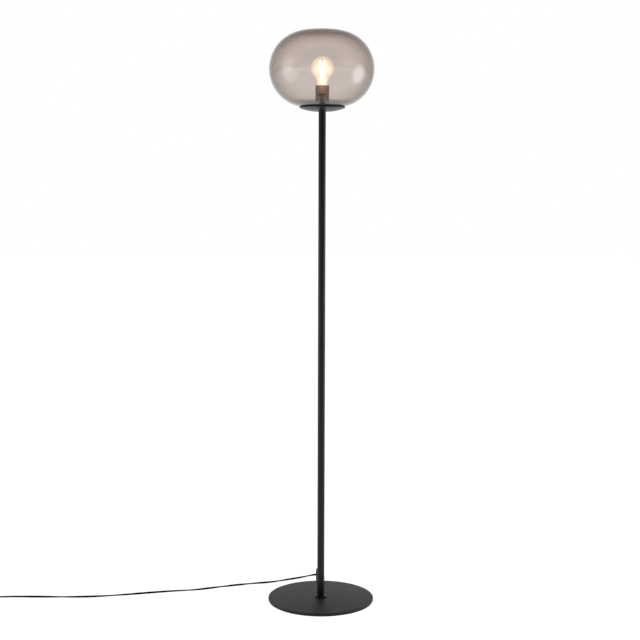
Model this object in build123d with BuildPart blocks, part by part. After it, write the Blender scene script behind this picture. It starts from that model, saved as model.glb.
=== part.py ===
"""Globe floor lamp: a smoked-glass oval globe on a thin black pole and a round steel base.

Millimetres, +Z up. The origin is the centre of the base on the floor, and -Y is the front.
"""

from build123d import *
import math
import os

os.makedirs("parts", exist_ok=True)


# ---------------------------------------------------------------- driving dimensions

# whole lamp
lamp_height = 1500.0
press_gap = 0.05  # between pieces that are fixed into each other
seat_gap = 0.3  # between a piece and a moving piece that rests on it

# smoked glass globe: an oval of two side arcs, a crown arc and a foot arc
globe_diameter = 271.5
globe_side_radius = 97.2
globe_crown_radius = 326.0
globe_wall = 2.5
globe_mouth_diameter = 98.0
globe_lip_round = 1.0

# spun steel dish that carries the globe
dish_diameter = 118.0
dish_wall = 1.5
dish_depth = 11.8
dish_rim_height = 2.6
dish_rim_round = 0.4
dish_to_glass = 1.2
ring_height = 12.0
ring_wall = 1.5
gasket_reach = 6.0
gasket_lip = 1.6
gasket_lip_height = 4.0

# base
base_diameter = 280.0
base_thickness = 6.0
base_edge_round = 1.0
pad_inset = 1.0  # from the plate's edge
pad_hole_diameter = 70.0
pad_thickness = 1.5
base_screw_diameter = 8.0
base_screw_head_diameter = 16.0
base_screw_socket_depth = 2.6
base_screw_socket = 0.62  # of the screw's radius
base_screw_clearance = 0.25
base_screw_reach = 18.0
foot_plug_height = 22.0
collar_diameter = 30.0
collar_height = 4.0
collar_round = 0.8

# pole
pole_diameter = 19.0
pole_wall = 1.2
pole_seam_height = 684.0
pole_end_chamfer = 0.3
insert_length = 16.0
stud_diameter = 10.0
stud_bore = 7.8
stud_reach = 13.0

# flex and its strain relief at the back of the pole
flex_diameter = 5.3
flex_clearance = 0.1
flex_bend_in_pole = 7.0
exit_height = 71.5
exit_angle = 13.0  # degrees from straight back towards -X
bushing_hole_diameter = 7.4
bushing_flange_diameter = 11.0
bushing_flange_height = 2.2
bushing_flange_round = 0.7
bushing_inner_reach = 2.2
relief_length = 18.0
relief_root_diameter = 9.2
relief_tip_diameter = 7.0
core_diameter = 1.7
core_gap = 0.3  # from the lead's middle to each bare core
exit_straight = 10.0
corner_share = 0.45  # of the shorter run beside a corner, taken up by its arc

# lampholder
head_washer_diameter = 21.0
head_washer_thickness = 1.5
sleeve_diameter = 35.5
sleeve_height = 63.0
sleeve_wall = 1.0
sleeve_lip = 1.2
sleeve_round = 0.8
nut_across_flats = 14.0
nut_height = 4.0
cap_diameter = 31.5
cap_height = 15.0
cap_floor = 8.0
cap_wall = 2.0
grub_diameter = 3.0
holder_diameter = 32.5
holder_height = 40.0
holder_floor = 7.5
shell_diameter = 28.4
shell_wall = 0.6
shell_height = 26.0
shell_lift = 4.0
terminal_spacing = 19.0
terminal_screw_diameter = 3.0
terminal_head_diameter = 5.6
terminal_head_height = 2.2
terminal_recess = 1.0
contact_width = 5.0
contact_thickness = 0.6
contact_gap = 0.2  # from the screw shell
tongue_foot = -3.0
tongue_bend = 1.0
tongue_slant = 0.4
tongue_short_of_tip = 1.0
holder_web = 1.0  # left over the cap in the floor's slot
flex_above_cap_floor = 0.5
core_rise = 3.2
core_straight = 1.5
core_in_holder = 1.0
core_bend = 1.0

# bulb
bulb_diameter = 60.0
bulb_length = 105.0
bulb_glass_wall = 0.8
bulb_neck_diameter = 27.6
bulb_cap_diameter = 26.0
bulb_cap_wall = 0.5
bulb_cap_height = 23.0
bulb_neck_in_cap = 4.0
bulb_neck_height = 2.5
bulb_shoulder_height = 6.0
bulb_below_rim = 3.0  # the metal cap's top edge below the sleeve's rim
insulator_height = 2.5
tip_diameter = 9.6
tip_height = 1.4
insulator_inset = 1.5
insulator_rim = 0.6  # round the tip
stem_diameter = 8.0
stem_height = 18.0
stem_in_cap = 2.0
stem_flare_edge = 0.8
stem_flare_height = 7.0
stem_taper = 0.8  # of the stem's radius, at its top
filament_count = 4
filament_diameter = 1.8
filament_length = 46.0
filament_foot_radius = 3.6
filament_head_radius = 8.5
filament_above_stem = 2.0
filament_turn = 45.0  # degrees from +X to the first
lead_diameter = 0.8
lead_gap = 0.1

# foot switch on the lead
switch_length = 76.0
switch_width = 34.0
switch_height = 22.0
switch_split = 11.0
switch_wall = 2.0
switch_corner = 15.0
switch_edge_round = 3.0
switch_straight = 45.0  # the lead's straight run before the switch
cut_margin = 1.0
button_diameter = 24.0
button_travel = 3.0
button_proud_down = 2.0  # what still stands above the cover when it is pressed
button_gap = 0.35
button_flange = 2.0
button_skirt = 2.0
spring_diameter = 10.0
spring_wire = 0.9
spring_turns = 5.0
spring_room = 1.0  # round the spring in its cups
boss_height = 2.0
inlet_height = 6.5
switch_screw_diameter = 2.6
switch_screw_head = 5.0
screw_seat_floor = 1.0
screw_sunk = 0.4
screw_short = 2.0
switch_post_diameter = 6.4
switch_screw_x = 27.0
switch_screw_y = 10.5
boot_length = 22.0
boot_diameter = 10.0
boot_tip_diameter = 7.4
flex_inside = 9.0
clamp_length = 5.0
clamp_height = 3.0
clamp_inset = 4.0
block_length = 9.0
block_width = 6.0
block_height = 7.0
block_x = 18.5
block_y = 8.0
core_round_spring = 3.2
core_from_flex = 5.0
core_from_block = 6.0
core_slant = 1.0
cut_core_in_flex = 2.0
cut_core_straight = 2.4
cut_core_side = 1.4
cut_core_bend = 0.55  # of a core's width

# two-pin plug
plug_width = 35.3
plug_thickness = 13.7
plug_length = 36.0
plug_neck_width = 13.0
plug_shoulder = 17.0
plug_round = 2.0
plug_tail_length = 22.0
plug_tail_tip = 7.4
plug_turn = 14.0  # degrees that the plug turns from the coil's end
plug_lead_run = 20.0
plug_lead_straight = 11.0
plug_lead_inside = 4.0
pin_diameter = 4.0
pin_length = 19.0
pin_spacing = 18.6
pin_sleeve_length = 10.0
pin_sleeve_wall = 0.25

# coil of the lead that is put away
coil_pitch = 5.9
coil_layer = 5.8
coil_outer_radius = 37.7
coil_turns_each_way = 3
coil_floor_gap = 0.1
coil_reach = 70.0  # from the switch's boot to where the coil starts
boot_straight = 13.0
coil_lead_in = 24.0
coil_lead_out = 16.0


# ---------------------------------------------------------------- levels and radii

pad_diameter = base_diameter - 2 * pad_inset
pole_radius = pole_diameter / 2
pole_bore = pole_radius - pole_wall
flex_radius = flex_diameter / 2
flex_hole = flex_radius + flex_clearance
base_top = pad_thickness + base_thickness
stud_radius = stud_diameter / 2

side_centre = globe_diameter / 2 - globe_side_radius
crown_drop = math.sqrt((globe_crown_radius - globe_side_radius) ** 2 - side_centre**2)
globe_centre_z = lamp_height - (globe_crown_radius - crown_drop)
crown_angle = math.atan2(side_centre, crown_drop)  # from the axis to where the arcs meet
mouth_radius = globe_mouth_diameter / 2


def foot_z(radius, inset=0.0):
    """Height of the glass's underside at a radius, or of the same arc inset into the glass."""
    arc = globe_crown_radius - inset
    return globe_centre_z + crown_drop - math.sqrt(arc**2 - radius**2)


dish_radius = dish_diameter / 2
dish_rim_top = foot_z(dish_radius) - dish_to_glass
dish_bottom = dish_rim_top - dish_depth
dish_floor = dish_bottom + dish_wall
dish_seat_radius = pole_radius + 1.5
dish_rise = dish_depth - dish_rim_height
dish_span = dish_radius - dish_seat_radius
dish_arc = (dish_span**2 + dish_rise**2) / (2 * dish_rise)


def dish_inner_z(radius):
    """Height of the dish's inner surface at a radius outside its flat seat."""
    inner_arc = dish_arc - dish_wall
    return dish_bottom + dish_arc - math.sqrt(inner_arc**2 - (radius - dish_seat_radius) ** 2)


sleeve_floor = dish_floor + head_washer_thickness
sleeve_top = sleeve_floor + sleeve_height
sleeve_radius = sleeve_diameter / 2
nut_floor = sleeve_floor + sleeve_wall
cap_bottom = nut_floor + nut_height
cap_top = cap_bottom + cap_height
cavity_floor = cap_top + holder_floor
shell_bottom = cavity_floor + shell_lift
nipple_bottom = dish_bottom - stud_reach
nipple_top = cap_bottom + cap_floor

bulb_cap_top = sleeve_top - bulb_below_rim
bulb_cap_bottom = bulb_cap_top - bulb_cap_height
insulator_bottom = bulb_cap_bottom - insulator_height
tip_bottom = insulator_bottom - tip_height
bulb_top = tip_bottom + bulb_length
bulb_radius = bulb_diameter / 2
bulb_equator = bulb_top - bulb_radius
bulb_neck_radius = bulb_neck_diameter / 2
neck_foot = bulb_cap_top - bulb_neck_in_cap
stem_bottom = bulb_cap_top - stem_in_cap
stem_top = bulb_cap_top + stem_height

exit_out = Vector(
    -math.sin(math.radians(exit_angle)), math.cos(math.radians(exit_angle)), 0
)
exit_level = Vector(0, 0, exit_height)
bushing_face = pole_radius + bushing_flange_height
exit_point = exit_out * (bushing_face + relief_length) + exit_level


def finish(build, name):
    """Label a finished sub-part and write its file."""
    build.part.label = name
    export_step(build.part, f"parts/{name}.step")


def ring_profile(inner, outer, low, high):
    """A rectangle of a ring's section, in the XZ plane."""
    with Locations(((inner + outer) / 2, (low + high) / 2)):
        Rectangle(outer - inner, high - low)


# ---------------------------------------------------------------- base

# steel disc with a countersunk hole for the screw that holds the pole
with BuildPart() as base_plate:
    with BuildSketch(Plane.XY.offset(pad_thickness)):
        Circle(base_diameter / 2)
    extrude(amount=base_thickness)
    fillet(base_plate.faces().sort_by(Axis.Z)[-1].edges(), base_edge_round)
    with Locations(Plane.XY.offset(pad_thickness).rotated((180, 0, 0))):
        CounterSinkHole(
            radius=base_screw_diameter / 2 + base_screw_clearance,
            counter_sink_radius=base_screw_head_diameter / 2 + base_screw_clearance,
            depth=base_thickness,
            counter_sink_angle=90,
        )
finish(base_plate, "base_plate")

# foam sheet under the plate, open in the middle round the screw head
with BuildPart() as base_pad:
    with BuildSketch():
        Circle(pad_diameter / 2)
        Circle(pad_hole_diameter / 2, mode=Mode.SUBTRACT)
    extrude(amount=pad_thickness)
finish(base_pad, "base_pad")

# threaded plug welded into the foot of the pole
with BuildPart() as foot_plug:
    with BuildSketch(Plane.XY.offset(base_top)):
        Circle(pole_bore - press_gap)
        Circle(base_screw_diameter / 2 + press_gap, mode=Mode.SUBTRACT)
    extrude(amount=foot_plug_height)
finish(foot_plug, "foot_plug")

# countersunk screw with a hexagon socket, driven from below
with BuildPart() as base_screw:
    screw_radius = base_screw_diameter / 2
    head_radius = base_screw_head_diameter / 2
    with BuildSketch(Plane.XZ):
        with BuildLine():
            Polyline(
                (0, pad_thickness),
                (head_radius, pad_thickness),
                (screw_radius, pad_thickness + head_radius - screw_radius),
                (screw_radius, base_top + base_screw_reach),
                (0, base_top + base_screw_reach),
                close=True,
            )
        make_face()
    revolve(axis=Axis.Z)
    with BuildSketch(Plane.XY.offset(pad_thickness)):
        RegularPolygon(radius=screw_radius * base_screw_socket, side_count=6, major_radius=False)
    extrude(amount=base_screw_socket_depth, mode=Mode.SUBTRACT)
finish(base_screw, "base_screw")

# loose trim ring at the foot of the pole
with BuildPart() as foot_collar:
    with BuildSketch(Plane.XY.offset(base_top)):
        Circle(collar_diameter / 2)
        Circle(pole_radius + press_gap, mode=Mode.SUBTRACT)
    extrude(amount=collar_height)
    collar_rim = foot_collar.edges().filter_by(GeomType.CIRCLE).group_by(Axis.Z)[-1]
    fillet(collar_rim.sort_by(SortBy.RADIUS)[-1], collar_round)
finish(foot_collar, "foot_collar")


# ---------------------------------------------------------------- pole


def pole_section(low, high):
    """A length of the pole's tube with small chamfers at both outer edges."""
    with BuildSketch(Plane.XY.offset(low)) as section:
        Circle(pole_radius)
        Circle(pole_bore, mode=Mode.SUBTRACT)
    tube = extrude(section.sketch, amount=high - low)
    rims = tube.edges().filter_by(GeomType.CIRCLE).filter_by(
        lambda edge: edge.radius > (pole_radius + pole_bore) / 2
    )
    chamfer(rims, pole_end_chamfer)


exit_plane = Plane(origin=exit_level, x_dir=(0, 0, 1), z_dir=exit_out)

with BuildPart() as lower_pole:
    pole_section(base_top, pole_seam_height)
    with BuildSketch(exit_plane):
        Circle(bushing_hole_diameter / 2)
    extrude(amount=pole_diameter, mode=Mode.SUBTRACT)
finish(lower_pole, "lower_pole")

with BuildPart() as upper_pole:
    pole_section(pole_seam_height, dish_bottom)
finish(upper_pole, "upper_pole")


def tube_insert(low, high):
    """A threaded bush fixed in the pole's bore."""
    with BuildSketch(Plane.XY.offset(low)) as section:
        Circle(pole_bore - press_gap)
        Circle(stud_radius + press_gap, mode=Mode.SUBTRACT)
    extrude(section.sketch, amount=high - low)


def hollow_stud(low, high):
    """A threaded tube that the flex passes through."""
    with BuildSketch(Plane.XY.offset(low)) as section:
        Circle(stud_radius)
        Circle(stud_bore / 2, mode=Mode.SUBTRACT)
    extrude(section.sketch, amount=high - low)


with BuildPart() as lower_joint_insert:
    tube_insert(pole_seam_height - insert_length, pole_seam_height)
finish(lower_joint_insert, "lower_joint_insert")

with BuildPart() as upper_joint_insert:
    tube_insert(pole_seam_height, pole_seam_height + insert_length)
finish(upper_joint_insert, "upper_joint_insert")

with BuildPart() as joint_stud:
    hollow_stud(pole_seam_height - stud_reach, pole_seam_height + stud_reach)
finish(joint_stud, "joint_stud")

with BuildPart() as pole_top_insert:
    tube_insert(dish_bottom - insert_length, dish_bottom)
finish(pole_top_insert, "pole_top_insert")

# bushing in the hole at the back: a flange that fits the pole's curve and a tapered strain relief
with BuildPart() as cord_bushing:
    with BuildSketch(exit_plane.offset(pole_bore - bushing_inner_reach)):
        Circle(bushing_flange_diameter / 2)
    extrude(amount=bushing_face - pole_bore + bushing_inner_reach)
    fillet(
        cord_bushing.faces().sort_by(lambda face: face.center().dot(exit_out))[-1].edges(),
        bushing_flange_round,
    )
    with BuildSketch(Plane.XY.offset(exit_height - bushing_flange_diameter)):
        Circle(pole_radius + press_gap)
    extrude(amount=2 * bushing_flange_diameter, mode=Mode.SUBTRACT)
    with BuildSketch(exit_plane.offset(pole_bore - bushing_inner_reach)):
        Circle(bushing_hole_diameter / 2 - press_gap)
    extrude(amount=bushing_face - pole_bore)
    with BuildSketch(exit_plane.offset(bushing_face - bushing_flange_height / 2)):
        Circle(relief_root_diameter / 2)
    with BuildSketch(exit_plane.offset(bushing_face + relief_length)):
        Circle(relief_tip_diameter / 2)
    loft(ruled=True)
    with BuildSketch(exit_plane):
        Circle(flex_hole)
    extrude(amount=bushing_face + relief_length, mode=Mode.SUBTRACT)
finish(cord_bushing, "cord_bushing")

# flex held inside the pole, from the bushing up into the lampholder
flex_top = cap_bottom + cap_floor + flex_above_cap_floor
with BuildPart() as pole_cable:
    with BuildLine() as pole_route:
        FilletPolyline(
            exit_point,
            exit_level,
            (0, 0, flex_top),
            radius=flex_bend_in_pole,
        )
    with BuildSketch(exit_plane.offset(bushing_face + relief_length)):
        Circle(flex_radius)
    sweep(path=pole_route.wire())
finish(pole_cable, "pole_cable")


# ---------------------------------------------------------------- dish and globe seat

# spun dish with an upright rim and a hole for the threaded nipple
with BuildPart() as dish:
    rim_foot = dish_bottom + dish_rise
    inner_rim = dish_radius - dish_wall
    with BuildSketch(Plane.XZ):
        with BuildLine():
            Line((stud_radius + press_gap, dish_bottom), (dish_seat_radius, dish_bottom))
            TangentArc((dish_seat_radius, dish_bottom), (dish_radius, rim_foot), tangent=(1, 0))
            Polyline(
                (dish_radius, rim_foot),
                (dish_radius, dish_rim_top),
                (inner_rim, dish_rim_top),
                (inner_rim, dish_inner_z(inner_rim)),
            )
            TangentArc(
                (dish_seat_radius, dish_floor), (inner_rim, dish_inner_z(inner_rim)), tangent=(1, 0)
            )
            Polyline(
                (dish_seat_radius, dish_floor),
                (stud_radius + press_gap, dish_floor),
                (stud_radius + press_gap, dish_bottom),
            )
        make_face()
    revolve(axis=Axis.Z)
    top_rims = dish.edges().filter_by(GeomType.CIRCLE).group_by(Axis.Z)[-1]
    fillet(top_rims, dish_rim_round)
finish(dish, "dish")

# upright ring fixed in the dish, which centres the globe's mouth
ring_outer = mouth_radius - seat_gap - gasket_lip
ring_inner = ring_outer - ring_wall
ring_top = dish_inner_z(ring_outer) + ring_height
with BuildPart() as locating_ring:
    with BuildSketch(Plane.XZ):
        with BuildLine():
            Polyline(
                (ring_inner, dish_inner_z(ring_inner)),
                (ring_outer, dish_inner_z(ring_outer)),
                (ring_outer, ring_top),
                (ring_inner, ring_top),
                close=True,
            )
        make_face()
    revolve(axis=Axis.Z)
finish(locating_ring, "locating_ring")

# rubber ring between the dish and the glass, with a lip inside the mouth
gasket_inner = ring_outer + press_gap
gasket_step = mouth_radius - seat_gap
gasket_outer = mouth_radius + gasket_reach
with BuildPart() as dish_gasket:
    with BuildSketch(Plane.XZ):
        with BuildLine():
            Polyline(
                (gasket_inner, dish_inner_z(gasket_inner) + press_gap),
                (gasket_outer, dish_inner_z(gasket_outer) + press_gap),
                (gasket_outer, foot_z(gasket_outer) - seat_gap),
                (gasket_step, foot_z(gasket_step) - seat_gap),
                (gasket_step, foot_z(gasket_step) + gasket_lip_height),
                (gasket_inner, foot_z(gasket_step) + gasket_lip_height),
                close=True,
            )
        make_face()
    revolve(axis=Axis.Z)
finish(dish_gasket, "dish_gasket")


def crown_point(radius, angle, up):
    """A point on the crown (up=1) or foot (up=-1) arc, at an angle from the axis."""
    return (
        radius * math.sin(angle),
        globe_centre_z + up * (radius * math.cos(angle) - crown_drop),
    )


def glass_outline(inset):
    """Half of the oval from the mouth to the crown, inset into the glass."""
    crown = globe_crown_radius - inset
    side = globe_side_radius - inset
    mouth_angle = math.asin(mouth_radius / crown)
    ThreePointArc(
        crown_point(crown, mouth_angle, -1),
        crown_point(crown, (mouth_angle + crown_angle) / 2, -1),
        crown_point(crown, crown_angle, -1),
    )
    ThreePointArc(
        crown_point(crown, crown_angle, -1),
        (side_centre + side, globe_centre_z),
        crown_point(crown, crown_angle, 1),
    )
    ThreePointArc(
        crown_point(crown, crown_angle, 1),
        crown_point(crown, crown_angle / 2, 1),
        crown_point(crown, 0, 1),
    )


# blown glass globe, open below
with BuildPart() as globe_glass:
    with BuildSketch(Plane.XZ):
        with BuildLine():
            glass_outline(0)
            glass_outline(globe_wall)
            Line((mouth_radius, foot_z(mouth_radius)), (mouth_radius, foot_z(mouth_radius, globe_wall)))
            Line((0, lamp_height), (0, lamp_height - globe_wall))
        make_face()
    revolve(axis=Axis.Z)
    lip_edges = globe_glass.edges().filter_by(GeomType.CIRCLE).filter_by(
        lambda edge: abs(edge.radius - mouth_radius) < 0.01
    )
    fillet(lip_edges, globe_lip_round)
finish(globe_glass, "globe_glass")


# ---------------------------------------------------------------- lampholder

with BuildPart() as head_washer:
    with BuildSketch(Plane.XY.offset(dish_floor)):
        Circle(head_washer_diameter / 2)
        Circle(stud_radius + press_gap, mode=Mode.SUBTRACT)
    extrude(amount=head_washer_thickness)
finish(head_washer, "head_washer")

# threaded nipple that ties the pole, the dish, the sleeve and the holder together
with BuildPart() as head_nipple:
    hollow_stud(nipple_bottom, nipple_top)
finish(head_nipple, "head_nipple")

# cylindrical metal sleeve, a cup with an inturned top edge
with BuildPart() as holder_sleeve:
    with BuildSketch(Plane.XZ):
        ring_profile(stud_radius + press_gap, sleeve_radius, sleeve_floor, nut_floor)
        ring_profile(sleeve_radius - sleeve_wall, sleeve_radius, sleeve_floor, sleeve_top)
        ring_profile(
            sleeve_radius - sleeve_wall - sleeve_lip, sleeve_radius, sleeve_top - sleeve_wall, sleeve_top
        )
    revolve(axis=Axis.Z)
    sleeve_edges = holder_sleeve.edges().filter_by(GeomType.CIRCLE).filter_by(
        lambda edge: abs(edge.radius - sleeve_radius) < 0.01
    )
    fillet(sleeve_edges, sleeve_round)
finish(holder_sleeve, "holder_sleeve")

with BuildPart() as head_nut:
    with BuildSketch(Plane.XY.offset(nut_floor)):
        RegularPolygon(radius=nut_across_flats / 2, side_count=6, major_radius=False)
        Circle(stud_radius + press_gap, mode=Mode.SUBTRACT)
    extrude(amount=nut_height)
finish(head_nut, "head_nut")

# threaded cap of the lampholder, with a room for the cores above its floor
grub_height = cap_bottom + cap_floor / 2
grub_plane = Plane(origin=(0, 0, grub_height), x_dir=(0, 1, 0), z_dir=(1, 0, 0))
with BuildPart() as holder_cap:
    with BuildSketch(Plane.XZ):
        ring_profile(stud_radius + press_gap, cap_diameter / 2, cap_bottom, cap_bottom + cap_floor)
        ring_profile(cap_diameter / 2 - cap_wall, cap_diameter / 2, cap_bottom, cap_top)
    revolve(axis=Axis.Z)
    with BuildSketch(grub_plane):
        Circle(grub_diameter / 2 + press_gap)
    extrude(amount=cap_diameter, mode=Mode.SUBTRACT)
finish(holder_cap, "holder_cap")

# grub screw that locks the cap on the nipple
with BuildPart() as grub_screw:
    with BuildSketch(grub_plane.offset(stud_radius + press_gap)):
        Circle(grub_diameter / 2)
    extrude(amount=cap_floor)
    with BuildSketch(grub_plane.offset(stud_radius + press_gap + cap_floor)):
        RegularPolygon(radius=grub_diameter / 4, side_count=6, major_radius=False)
    extrude(amount=-cap_floor / 4, mode=Mode.SUBTRACT)
finish(grub_screw, "grub_screw")

# insulating body with the cavity for the screw shell
terminal_places = [(0, terminal_spacing / 2), (0, -terminal_spacing / 2)]
with BuildPart() as holder_body:
    with BuildSketch(Plane.XY.offset(cap_top)):
        Circle(holder_diameter / 2)
    extrude(amount=holder_height)
    with BuildSketch(Plane.XY.offset(cavity_floor)):
        Circle(shell_diameter / 2 + press_gap)
    extrude(amount=holder_height, mode=Mode.SUBTRACT)
    with BuildSketch(Plane.XY.offset(cap_top)):
        with Locations(terminal_places):
            Circle(terminal_screw_diameter / 2 + press_gap)
    extrude(amount=holder_floor, mode=Mode.SUBTRACT)
    with BuildSketch(Plane.XY.offset(cap_top)):
        with Locations(terminal_places):
            Circle(terminal_head_diameter / 2 + press_gap)
    extrude(amount=terminal_head_height + terminal_recess, mode=Mode.SUBTRACT)
finish(holder_body, "holder_body")

with BuildPart() as screw_shell:
    with BuildSketch(Plane.XY.offset(shell_bottom)):
        Circle(shell_diameter / 2)
        Circle(shell_diameter / 2 - shell_wall, mode=Mode.SUBTRACT)
    extrude(amount=shell_height)
finish(screw_shell, "screw_shell")

# strip from the shell's lower edge to one terminal
shell_reach = shell_diameter / 2 - contact_gap
with BuildPart() as shell_contact:
    with BuildSketch(Plane.YZ):
        with BuildLine():
            Polyline(
                (terminal_spacing / 2 - contact_width / 2, cavity_floor),
                (shell_reach, cavity_floor),
                (shell_reach, shell_bottom),
                (shell_reach - contact_thickness, shell_bottom),
                (shell_reach - contact_thickness, cavity_floor + contact_thickness),
                (terminal_spacing / 2 - contact_width / 2, cavity_floor + contact_thickness),
                close=True,
            )
        make_face()
    extrude(amount=contact_width / 2, both=True)
finish(shell_contact, "shell_contact")

# sprung tongue under the bulb's tip, held at the other terminal
tongue_top = tip_bottom - seat_gap
tongue_far = tip_diameter / 2 - tongue_short_of_tip
tongue_start = -terminal_spacing / 2 - contact_width / 2
with BuildPart() as centre_contact:
    with BuildSketch(Plane.YZ):
        with BuildLine():
            Polyline(
                (tongue_start, cavity_floor),
                (tongue_foot, cavity_floor),
                (tongue_bend, tongue_top - contact_thickness),
                (tongue_far, tongue_top - contact_thickness),
                (tongue_far, tongue_top),
                (tongue_bend - tongue_slant, tongue_top),
                (tongue_foot - tongue_slant, cavity_floor + contact_thickness),
                (tongue_start, cavity_floor + contact_thickness),
                close=True,
            )
        make_face()
    extrude(amount=contact_width / 2, both=True)
finish(centre_contact, "centre_contact")

with BuildPart() as terminal_screws:
    with BuildSketch(Plane.XY.offset(cap_top + holder_web)):
        with Locations(terminal_places):
            Circle(terminal_head_diameter / 2)
    extrude(amount=terminal_head_height)
    with BuildSketch(Plane.XY.offset(cap_top + holder_web)):
        with Locations(terminal_places):
            Circle(terminal_screw_diameter / 2)
    extrude(amount=holder_floor - holder_web)
finish(terminal_screws, "terminal_screws")

# the flex's two cores, from its end to the terminals
with BuildPart() as holder_cores:
    core_start = core_diameter / 2 + core_gap
    for side in (1, -1):
        with BuildLine() as core_route:
            FilletPolyline(
                (0, side * core_start, flex_top),
                (0, side * core_start, flex_top + core_rise),
                (0, side * terminal_spacing / 2, cap_top - core_straight),
                (0, side * terminal_spacing / 2, cap_top + core_in_holder),
                radius=core_bend,
            )
        with BuildSketch(Plane.XY.offset(flex_top)):
            with Locations((0, side * core_start)):
                Circle(core_diameter / 2)
        sweep(path=core_route.wire())
finish(holder_cores, "holder_cores")


# ---------------------------------------------------------------- bulb


def bulb_outline(inset):
    """Half outline of the bulb's glass from the open neck to the crown."""
    neck = bulb_neck_radius - inset
    cap_neck = bulb_cap_diameter / 2 - bulb_cap_wall - press_gap - inset
    shoulder = bulb_cap_top + bulb_shoulder_height
    radius = bulb_radius - inset
    half_width = (bulb_radius - bulb_neck_radius) / 2
    half_rise = (bulb_equator - shoulder) / 2
    bend = (half_width**2 + half_rise**2) / (2 * half_width)
    lean = math.atan2(half_rise, bend - half_width)
    middle = (
        bulb_neck_radius + half_width - inset * math.cos(lean),
        shoulder + half_rise + inset * math.sin(lean),
    )
    Polyline(
        (cap_neck, neck_foot),
        (cap_neck, bulb_cap_top),
        (neck, bulb_cap_top + bulb_neck_height),
        (neck, shoulder),
    )
    TangentArc((neck, shoulder), middle, tangent=(0, 1))
    TangentArc((radius, bulb_equator), middle, tangent=(0, -1))
    ThreePointArc(
        (radius, bulb_equator),
        (radius * math.sqrt(0.5), bulb_equator + radius * math.sqrt(0.5)),
        (0, bulb_equator + radius),
    )
    return cap_neck


with BuildPart() as bulb_envelope:
    with BuildSketch(Plane.XZ):
        with BuildLine():
            outer_neck = bulb_outline(0)
            inner_neck = bulb_outline(bulb_glass_wall)
            Line((outer_neck, neck_foot), (inner_neck, neck_foot))
            Line((0, bulb_top), (0, bulb_top - bulb_glass_wall))
        make_face()
    revolve(axis=Axis.Z)
finish(bulb_envelope, "bulb_envelope")

# plated brass cap that screws into the shell
cap_radius = bulb_cap_diameter / 2
with BuildPart() as bulb_cap:
    with BuildSketch(Plane.XZ):
        ring_profile(cap_radius - bulb_cap_wall, cap_radius, bulb_cap_bottom, bulb_cap_top)
        ring_profile(tip_diameter / 2, cap_radius, bulb_cap_bottom, bulb_cap_bottom + bulb_cap_wall)
    revolve(axis=Axis.Z)
    cap_foot = bulb_cap.edges().filter_by(GeomType.CIRCLE).group_by(Axis.Z)[0]
    fillet(cap_foot.sort_by(SortBy.RADIUS)[-1], bulb_cap_wall * 0.8)
finish(bulb_cap, "bulb_cap")

# glass insulator below the cap
with BuildPart() as bulb_insulator:
    with BuildSketch(Plane.XZ):
        with BuildLine():
            Polyline(
                (0, bulb_cap_bottom - press_gap),
                (cap_radius - insulator_inset, bulb_cap_bottom - press_gap),
                (tip_diameter / 2 + insulator_rim, insulator_bottom),
                (0, insulator_bottom),
                close=True,
            )
        make_face()
    revolve(axis=Axis.Z)
finish(bulb_insulator, "bulb_insulator")

with BuildPart() as bulb_tip:
    with BuildSketch(Plane.XY.offset(tip_bottom)):
        Circle(tip_diameter / 2)
    extrude(amount=tip_height)
    fillet(bulb_tip.faces().sort_by(Axis.Z)[0].edges(), tip_height * 0.6)
finish(bulb_tip, "bulb_tip")

# glass stem that carries the filaments, sealed to the neck by its flare
stem_flare = bulb_cap_diameter / 2 - bulb_cap_wall - bulb_glass_wall - 2 * press_gap
with BuildPart() as bulb_stem:
    with BuildSketch(Plane.XZ):
        with BuildLine():
            Polyline(
                (0, stem_bottom),
                (stem_flare, stem_bottom),
                (stem_flare, stem_bottom + stem_flare_edge),
                (stem_diameter / 2, stem_bottom + stem_flare_height),
                (stem_diameter / 2 * stem_taper, stem_top),
                (0, stem_top),
                close=True,
            )
        make_face()
    revolve(axis=Axis.Z)
finish(bulb_stem, "bulb_stem")

# upright rods with light-giving coating, spread at their heads
filament_foot = stem_top + filament_above_stem
filament_rise = math.sqrt(filament_length**2 - (filament_head_radius - filament_foot_radius) ** 2)
filament_head = filament_foot + filament_rise
filament_turns = [index * 360 / filament_count + filament_turn for index in range(filament_count)]


def around(radius, degrees, height):
    """A point at a radius and bearing from the lamp's axis."""
    angle = math.radians(degrees)
    return Vector(radius * math.cos(angle), radius * math.sin(angle), height)


with BuildPart() as bulb_filaments:
    for turn in filament_turns:
        low_end = around(filament_foot_radius, turn, filament_foot)
        high_end = around(filament_head_radius, turn, filament_head)
        with BuildSketch(Plane(origin=low_end, z_dir=high_end - low_end)):
            Circle(filament_diameter / 2)
        extrude(amount=filament_length)
finish(bulb_filaments, "bulb_filaments")

# wires that join the filaments' feet to the stem, and a wire frame at their heads
with BuildPart() as bulb_leads:
    with BuildSketch(Plane.XY.offset(stem_top)):
        Circle(lead_diameter)
    extrude(amount=filament_head + lead_diameter * 2 - stem_top)
    for turn in filament_turns:
        for height in (stem_top + lead_diameter, filament_head + lead_diameter):
            hub = around(0, turn, height)
            reach = filament_foot_radius if height < filament_foot else filament_head_radius
            end = around(reach, turn, height)
            with BuildSketch(Plane(origin=hub, z_dir=end - hub)):
                Circle(lead_diameter / 2)
            extrude(amount=reach + filament_diameter / 2)
        foot_end = around(filament_foot_radius, turn, stem_top + lead_diameter)
        with BuildSketch(Plane(origin=foot_end, z_dir=(0, 0, 1))):
            Circle(lead_diameter / 2)
        extrude(amount=filament_foot - stem_top - lead_diameter - lead_gap)
finish(bulb_leads, "bulb_leads")


# ---------------------------------------------------------------- foot switch on the lead

switch_bearing = 189.0  # degrees from +X, the way the lead runs through the switch
switch_inlet = Vector(-893.0, -13.5, 0.0)


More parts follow.
